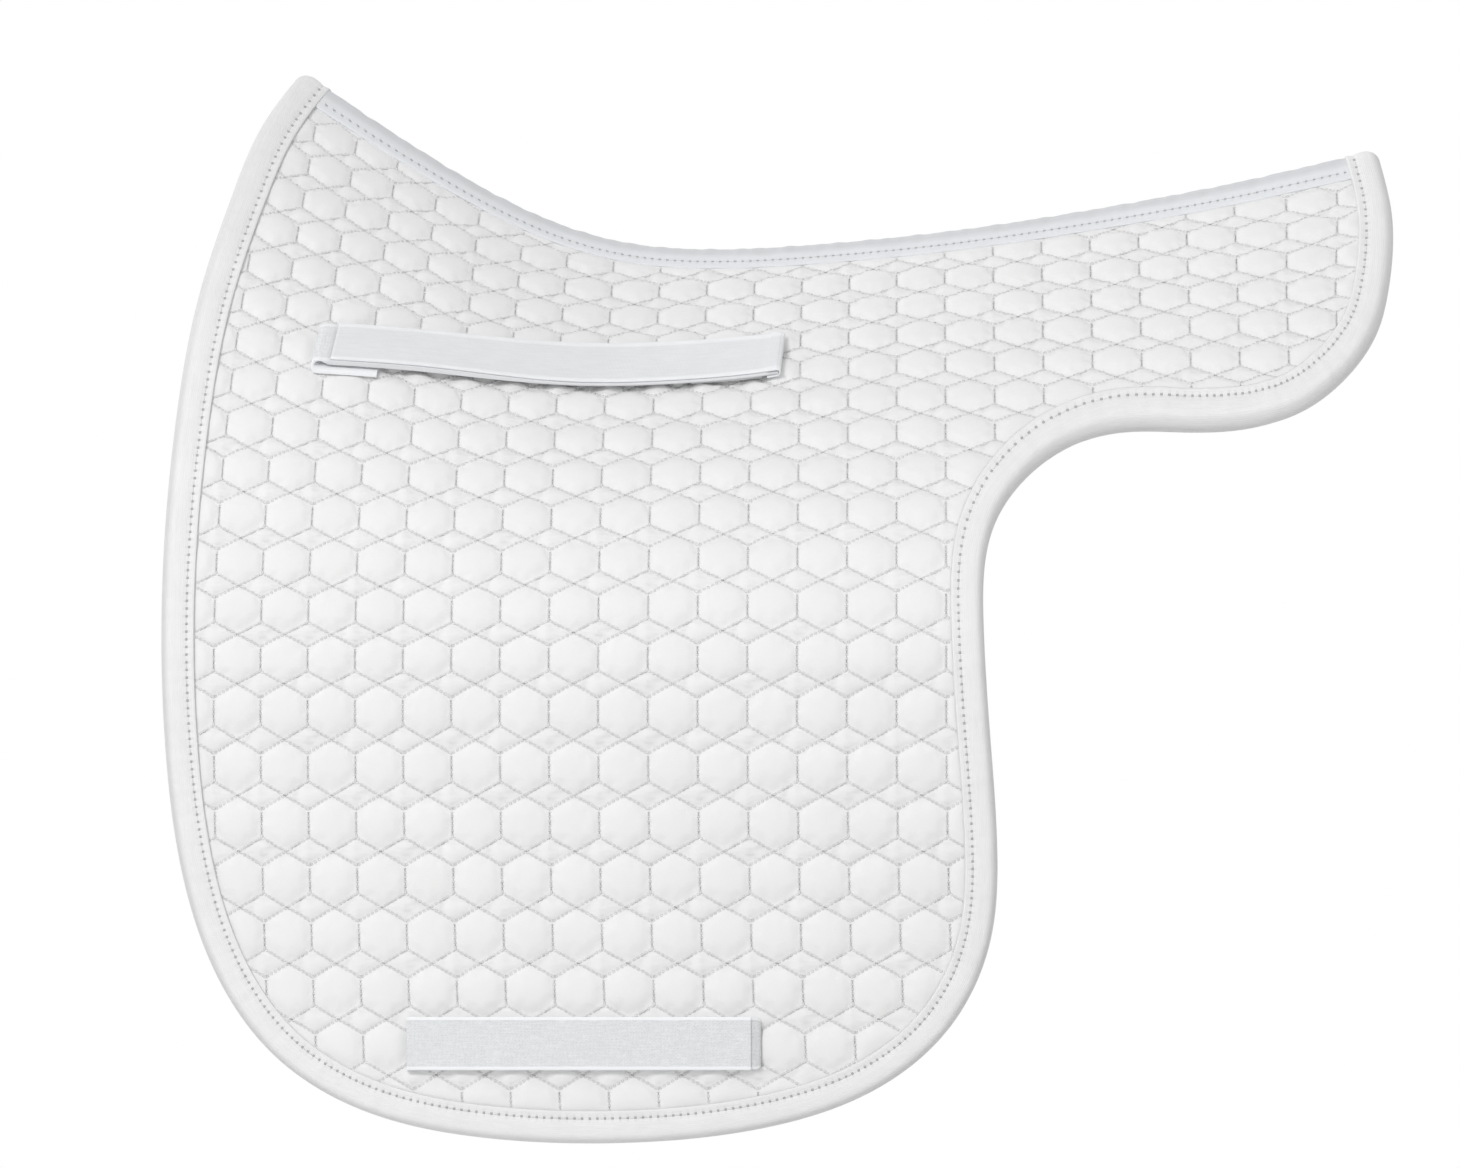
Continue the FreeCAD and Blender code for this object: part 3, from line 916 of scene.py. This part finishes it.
def binding_lines(insets, runs):
    """Lines at given distances inside the edge, which all run from spine to spine.

    runs are the wanted distances along the edge. Gives places shaped (runs, insets, 2)."""
    on_panel = np.nonzero(edge_points[:, 1] < crown_height(edge_points[:, 0]))[0]
    numbers = np.arange(len(edge_points))
    from_peak = np.minimum(np.abs(numbers - on_panel[0]), np.abs(numbers - on_panel[-1]))
    short = np.clip(CORNER_RADIUS - from_peak, 0, CORNER_RADIUS)
    corner = CORNER_RADIUS - np.sqrt(CORNER_RADIUS**2 - short**2)
    lines = []
    for inset in insets:
        line = edge_points + edge_inward * (inset + corner * (1 - inset / BINDING_WIDTH))[:, None]
        over = line[:, 1] - crown_height(line[:, 0])
        under = np.nonzero(over < 0)[0]
        first, last = under[0], under[-1]
        start = first - over[first] / (over[first] - over[first - 1])
        end = last + over[last] / (over[last] - over[last + 1])
        places = start + (end - start) * runs / EDGE_RUN
        lines.append(np.stack([np.interp(places, numbers, column) for column in line.T], axis=1))
    return np.stack(lines, axis=1)


def binding(side):
    """The tape's section, given a thickness on its inner side, swept from peak to peak."""
    sign = SIDES[side]
    outer, along = curve_through(BINDING_SECTION, SECTION_STEP)
    inner = outer + np.stack([-along[:, 1], along[:, 0]], axis=1) * TAPE
    section = np.concatenate([outer, inner[::-1]])
    last = EDGE_RUN - PEAK_RUN
    run = np.r_[
        np.arange(0, PEAK_RUN, PEAK_STEP), np.arange(PEAK_RUN, last, RUN_STEP),
        np.arange(last, EDGE_RUN, PEAK_STEP), EDGE_RUN,
    ]
    lines = binding_lines(section[:, 0], run)
    rows, columns = lines.shape[:2]
    uneven = 0.16 * ripple(run, (13, 21, 34, 57)) + 0.1 * ripple(run, (6.1, 9.7))
    height = section[:, 1][None] + uneven[:, None] * smooth_step(section[:, 1], -4, 0)[None]
    points = drape(lines[..., 0], lines[..., 1], height, sign).reshape(-1, 3)
    around = np.r_[np.arange(len(outer)), np.arange(len(outer))[::-1]] * SECTION_STEP
    cloth = np.stack([np.repeat(run, columns), np.tile(around, rows)], axis=1)
    return make_piece(f"{side}_binding", points, tube_faces(rows, columns), {"cloth": cloth}, sign < 0)


def binding_stitching(side):
    run = np.arange(BINDING_STITCH / 2, EDGE_RUN - BINDING_STITCH, BINDING_STITCH)
    places = (binding_lines([STITCH_LINE], run + step)[:, 0].T for step in (0, 1, -1))
    return stitching(f"{side}_binding_stitching", side, *places, 0.68, 3.4, 0.28)


for side in SIDES:
    edging = binding(side)
    dress(edging, "binding")
    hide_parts(f"{side}_flap_binding", "front_binding", "rear_binding")
    bend_with_flap(edging)
    for threads in (quilt_stitching(side), binding_stitching(side)):
        dress(threads, "thread")
        bend_with_flap(threads)

# --- The tapes along the spine ---


END_SAMPLES = 400


def spine_band(name, half, heights):
    """A tape over the spine between two heights, with rounded edges and its ends under the
    bindings."""
    ys = np.sort(np.r_[np.linspace(-half, half, 47), -half + 0.4, half - 0.4])
    line = binding_lines([BINDING_WIDTH - 2.5], np.linspace(0, EDGE_RUN, END_SAMPLES * 10))[:, 0]
    ends = []
    for part in (line[:END_SAMPLES], line[:-END_SAMPLES:-1]):
        side_away = np.abs(drape(part[:, 0], part[:, 1])[:, 1])
        ends.append(np.interp(np.abs(ys), side_away, part[:, 0]))
    count = int((ends[1] - ends[0]).max() / RUN_STEP)
    fraction = np.linspace(0, 1, count)[:, None]
    grid_x = ends[0] + (ends[1] - ends[0]) * fraction
    grid_y = np.broadcast_to(ys, grid_x.shape)
    z = level_from_spine(grid_x, grid_y)
    low, high = heights
    rounding = 1 - smooth_step(np.abs(grid_y), half - 1.5, half) * 0.5
    crease = smooth_step(np.abs(grid_y), half * 0.75, 0)
    pucker = 0.22 * crease * ripple(grid_x + 0.4 * np.abs(grid_y), (9.3, 14.9, 23.7))
    outer = low + (high - low) * rounding + pucker
    layers = []
    for height in (outer, low + pucker):
        places = drape(grid_x, z, height, 1)
        places[..., 1] *= np.where(grid_y < 0, -1, 1)
        layers.append(places.reshape(-1, 3))
    points, faces = shell(*layers, grid_faces(count, len(ys)))
    if high < low:
        faces = faces[:, ::-1]
    cloth = np.tile(np.stack([grid_x.ravel(), grid_y.ravel()], axis=1), (2, 1))
    return make_piece(name, points, faces.tolist(), {"cloth": cloth})


for name, half, heights, material, slot in (
    ("spine_tape", TAPE_HALF, (-0.8, 0.6), "spine", "spine_tape"),
    ("spine_lining_tape", LINING_TAPE_HALF, (UNDERSIDE, UNDERSIDE - 1.2), "lining", "lining_cotton"),
):
    tape = spine_band(f"{name}_cloth", half, heights)
    dress(tape, material)
    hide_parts(name)
    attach(tape, "panel")


def spine_stitching(side):
    first, last = binding_lines([BINDING_WIDTH], np.array([0, EDGE_RUN]))[:, 0, 0] / SPINE_STITCH
    x = np.arange(math.ceil(first) + 0.5, math.floor(last)) * SPINE_STITCH
    here, ahead = ((row, level_from_spine(row, SPINE_ROW)) for row in (x, x + 1))
    return stitching(f"{side}_spine_stitching", side, here, ahead, here, 0.72, 3.2, 0.25)


for side in SIDES:
    threads = spine_stitching(side)
    dress(threads, "thread")
    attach(threads, "panel")

# --- The straps ---

BILLET_TOP = natural_spline([-217, -203, -137, -70, -7, 56], [-43.3, -43.9, -49.3, -54.8, -54.0, -49.1])
BILLET_BOTTOM = natural_spline([-217, -154, -70, -7, 39, 54], [-66.3, -70.9, -79.7, -78.6, -74.6, -72.4])
WEB = 1.5
FACE_TAPE = 1.2
GIRTH_THICK = 1.3
FOLD_SWELL = 0.7
TAB_SKEW = 4.2
BILLET_FRONT_SLANT = 5.2
BILLET_REAR_SLANT = 2.9
BILLET_TAB_X = -179.7
BILLET_HEM_X = 46.2
BILLET_END_X = 54.2
BILLET_PATCH = (2, 43)
GIRTH_START_X = -164
GIRTH_END_X = 35.2
GIRTH_FOLD_X = 38.4
GIRTH_PATCH = (-162, -117)
# Heights over the mean face: the layers' middles, and the billet strap's visible face
BILLET_LOW = WEB / 2
BILLET_HIGH = 2.6 + WEB / 2
FACE_HEIGHT = 4.9
BILLET_FACE = 5.3
GIRTH_LOW = GIRTH_THICK / 2
GIRTH_HIGH = 2.4 + GIRTH_THICK / 2
# Which part of a strap's width a touch-close patch covers
PATCH_SPAN = (0.08, 0.92)


def strap_lift(x, v):
    """How far the billet strap stands off the pad, most at its lower corners."""
    return (0.4 + 1.1 * smooth_step(-x, 60, 195)) * v + 0.6 * v * smooth_step(x, 0, 55)


def on_billet(x, v, height, side):
    """A place on the billet strap, from x, the fraction v down its width and the height.

    The sewn tab lies a little lower down the pad than the strap folded over it."""
    lift = strap_lift(x, v)
    off_tab = np.clip((height - BILLET_LOW) / (BILLET_HIGH - BILLET_LOW), 0, 1)
    slant = np.interp(x, [-214, 54], [BILLET_FRONT_SLANT, BILLET_REAR_SLANT])
    x = x - slant * (v - 0.5)
    seen = SEAT + (1 - v) * BILLET_TOP(x)[0] + v * BILLET_BOTTOM(x)[0]
    z = seen
    for _ in range(4):
        z = z + seen - drape(x, z, BILLET_FACE - 1.9 * v + lift)[..., 2]
    z = z - TAB_SKEW * (1 - off_tab) * (0.3 + 0.7 * v) * smooth_step(-x, 60, 150)
    return drape(x, z, height + lift * off_tab, side)


def on_girth(x, v, height, side):
    return drape(x, GIRTH_LEVEL + (0.5 - v) * GIRTH_WIDTH, height, side)


def band(name, place, side, path, thickness, width, span, corner):
    """A flat strap along a path of (x, height) points, with rounded selvedges.

    place puts (x, v, height) in space; span is the range of v; corner rounds the outline at
    the path's furthest x."""
    sign = SIDES[side]
    middle = np.asarray(path, float)
    ahead = np.gradient(middle, axis=0)
    ahead /= np.linalg.norm(ahead, axis=1, keepdims=True)
    upward = np.stack([-ahead[:, 1], ahead[:, 0]], axis=1)
    bevel = thickness / width * np.array([0, 0.15, 0.5])
    rounding = np.array([0.25, 0.75, 1])
    low, high = span
    v = np.r_[low + bevel, np.linspace(low, high, 24)[1:-1], high - bevel[::-1]]
    k = np.r_[rounding, np.ones(22), rounding[::-1]]
    around_v, around_k = np.r_[v, v[::-1]], np.r_[k, -k[::-1]]
    section = middle[:, None] + upward[:, None] * (around_k[None, :, None] * thickness / 2)
    near_end = np.clip(corner - (middle[:, 0].max() - middle[:, 0]), 0, corner)
    narrowing = (corner - np.sqrt(corner**2 - near_end**2)) / width * 2
    centre = (low + high) / 2
    across = centre + (around_v - centre) * (1 - narrowing[:, None])
    points = place(section[..., 0], across, section[..., 1], sign)
    rows, columns = section.shape[:2]
    run = np.r_[0, np.cumsum(np.linalg.norm(np.diff(middle, axis=0), axis=1))] + middle[0, 0]
    cloth = np.stack([np.repeat(run, columns), np.tile(around_v * width, rows)], axis=1)
    strip = make_piece(name, points.reshape(-1, 3), tube_faces(rows, columns), {"cloth": cloth}, sign > 0)
    strip.data.set_sharp_from_angle(angle=math.radians(55))
    return strip


def straight(x0, x1, height, step=2.0):
    count = max(2, int(abs(x1 - x0) / step) + 1)
    return np.stack([np.linspace(x0, x1, count), np.full(count, height)], axis=1)


def turn(x, low, high, direction, reach):
    """A U-turn between two heights, which bulges past x by a reach."""
    angles = np.linspace(-math.pi / 2, math.pi / 2, 17)
    middle, radius = (low + high) / 2, (high - low) / 2
    return np.stack([x + direction * reach * np.cos(angles), middle + radius * np.sin(angles)], axis=1)


WHOLE = (0, 1)


def strap_pieces(side, strap, place, width, rows):
    """Makes the pieces of a strap, and gives the last, its fold, which rides on no one body."""
    for name, path, thickness, material, slot, body, span, corner in rows:
        piece = band(f"{side}_{strap}_{name}_cloth", place, side, path, thickness, width, span, corner)
        dress(piece, material)
        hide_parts(f"{side}_{strap}_{name}")
        if body:
            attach(piece, body)
    return piece


def bend_over(piece, side, joint, low, high):
    """Bakes a fold's placement into its mesh; the fold is not made to follow its strap as the strap
    opens.
    """
    x, _, z = joint_place(joint)
    start, end = (Vector(drape(x, z, h, SIDES[side]) * MM) for h in (low, high))
    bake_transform(piece)


def billet_strap(side):
    strap = f"{side}_billet_strap"
    end = BILLET_END_X - 1.3
    webbing = np.concatenate([
        straight(BILLET_FOLD_X, BILLET_FACE_X + 2, BILLET_HIGH, 0.6),
        straight(BILLET_FACE_X + 4, end, BILLET_HIGH),
    ])
    webbing[:, 1] += FOLD_SWELL * smooth_step(-webbing[:, 0], -BILLET_FACE_X - 0.5, -BILLET_FOLD_X)
    hem = np.concatenate([
        straight(BILLET_HEM_X, BILLET_END_X - 2, 5.75, 1.0),
        turn(BILLET_END_X - 2, 2.0, 5.6, 1, 1.6)[::-1],
        straight(BILLET_END_X - 3, BILLET_HEM_X, 1.9, 1.0),
    ])
    bend = turn(BILLET_FOLD_X, BILLET_LOW, BILLET_HIGH + FOLD_SWELL, -1, 3.8)
    tab = straight(BILLET_FOLD_X, BILLET_TAB_X, BILLET_LOW)
    face = straight(BILLET_FACE_X, end, FACE_HEIGHT)
    loops, hooks = straight(*BILLET_PATCH, 0.5), straight(*BILLET_PATCH, 2.1)
    fold = strap_pieces(side, "billet", on_billet, BILLET_WIDTH, [
        ("tab", tab, WEB, "billet_webbing", "webbing", "panel", WHOLE, 0),
        ("loop_patch", loops, 1, "loops", "touch_close", "panel", PATCH_SPAN, 0),
        ("webbing", webbing, WEB, "billet_webbing_painted_shade", "webbing", strap, WHOLE, 0),
        ("face_tape", face, FACE_TAPE, "face", "face_tape", strap, (0, 0.965), 0),
        ("end_hem", hem, 0.9, "face", "face_tape", strap, WHOLE, 0),
        ("hook_patch", hooks, 0.9, "hooks", "touch_close", strap, PATCH_SPAN, 0),
        ("fold", bend, WEB, "billet_webbing", "webbing", None, WHOLE, 0),
    ])
    bend_over(fold, side, f"{side}_billet_strap_open", 0.5, 4.2)


def girth_strap(side):
    strap, flap = f"{side}_girth_strap", f"{side}_flap"
    bend = np.concatenate([
        straight(GIRTH_END_X, GIRTH_FOLD_X - 0.2, GIRTH_LOW, 0.8),
        turn(GIRTH_FOLD_X, GIRTH_LOW, 2.0, 1, 2.2),
        straight(GIRTH_FOLD_X - 0.2, GIRTH_END_X - 6, 1.9, 0.8),
    ])[::-1]
    base, webbing = (straight(GIRTH_START_X, GIRTH_END_X, height) for height in (GIRTH_LOW, GIRTH_HIGH))
    loops, hooks = straight(*GIRTH_PATCH, 1.55), straight(*GIRTH_PATCH, 2.1)
    fold = strap_pieces(side, "girth", on_girth, GIRTH_WIDTH, [
        ("base", base, GIRTH_THICK, "girth_webbing", "webbing", flap, WHOLE, 0),
        ("loop_patch", loops, 0.5, "loops", "touch_close", flap, PATCH_SPAN, 0),
        ("webbing", webbing, GIRTH_THICK, "girth_webbing", "webbing", strap, WHOLE, 0),
        ("hook_patch", hooks, 0.5, "hooks", "touch_close", strap, PATCH_SPAN, 0),
        # The fold's webbing is darker as painted shade, where it lies under the strap.
        ("fold", bend, 1.1, "girth_fold_painted_shade", "webbing", None, (0.015, 0.985), 2),
    ])
    bend_over(fold, side, f"{side}_girth_strap_open", 0.8, 3.2)


for side in SIDES:
    billet_strap(side)
    girth_strap(side)

# --- Stage, lights and camera ---


def floor():
    low = cad_bounds[0][2] / MM - 45
    points = np.array([(-6000, -5000, low), (6000, -5000, low), (6000, 2300, low), (-6000, 2300, low)])
    ground = make_piece("floor", points, [(0, 1, 2, 3)], {"cloth": points[:, :2]})
    cloth = Cloth("floor_paper", (0.86, 0.86, 0.86), 0.9, 0.0)
    cloth.shade(cloth.ramp(cloth.noise(300), 0.3, 0.7, 0.98, 1.0))
    cloth.raise_by(cloth.noise(5), 0.02)
    ground.data.materials.append(cloth.finish())


# Each light's place and size in metres, and its power
LIGHTS = {
    "key": ((-2.6, -5.2, 3.4), 2.2, 192),
    "top": ((0.1, -1.5, 3.6), 2.5, 15),
    "fill": ((3.8, -4.8, 0.4), 4.0, 32),
    "back_left": ((-3.2, 4.4, 3.0), 2.6, 130),
    "back_right": ((4.0, 4.4, 1.6), 4.0, 60),
}
LIT_PLACE = (0.02, 0, -0.2)
WORLD_LIGHT = 0.44


def lights():
    """Soft lamps round the pad, and a world that lights softly but looks white to the camera."""
    for name, (place, size, power) in LIGHTS.items():
        data = bpy.data.lights.new(name, "AREA")
        data.shape = "DISK"
        data.size = size
        data.energy = power
        lamp = add_object(name, data)
        lamp.location = place
        lamp.rotation_mode = "QUATERNION"
        lamp.rotation_quaternion = (Vector(LIT_PLACE) - Vector(place)).to_track_quat("-Z", "Y")
    world = bpy.data.worlds.new("studio")
    bpy.context.scene.world = world
    world.use_nodes = True
    nodes, links = world.node_tree.nodes, world.node_tree.links
    nodes.clear()
    mix = nodes.new("ShaderNodeMixShader")
    links.new(nodes.new("ShaderNodeLightPath").outputs["Is Camera Ray"], mix.inputs[0])
    for socket, strength in ((1, WORLD_LIGHT), (2, 1.0)):
        background = nodes.new("ShaderNodeBackground")
        background.inputs["Color"].default_value = (1, 1, 1, 1)
        background.inputs["Strength"].default_value = strength
        links.new(background.outputs[0], mix.inputs[socket])
    links.new(mix.outputs[0], nodes.new("ShaderNodeOutputWorld").inputs[0])


def camera():
    """Square to the pad's left side, from far away, so that the side view keeps its shape."""
    data = bpy.data.cameras.new("camera")
    data.lens = 1300
    data.sensor_width = 36
    data.clip_end = 100
    view_width, near_face = 0.8468, -0.2
    distance = view_width * data.lens / data.sensor_width
    viewer = add_object("camera", data)
    viewer.location = (0.0232, near_face - distance, -0.1827)
    viewer.rotation_euler = (math.pi / 2, 0, 0)
    bpy.context.scene.camera = viewer


floor()
lights()
camera()
bpy.context.scene.view_settings.view_transform = "Standard"
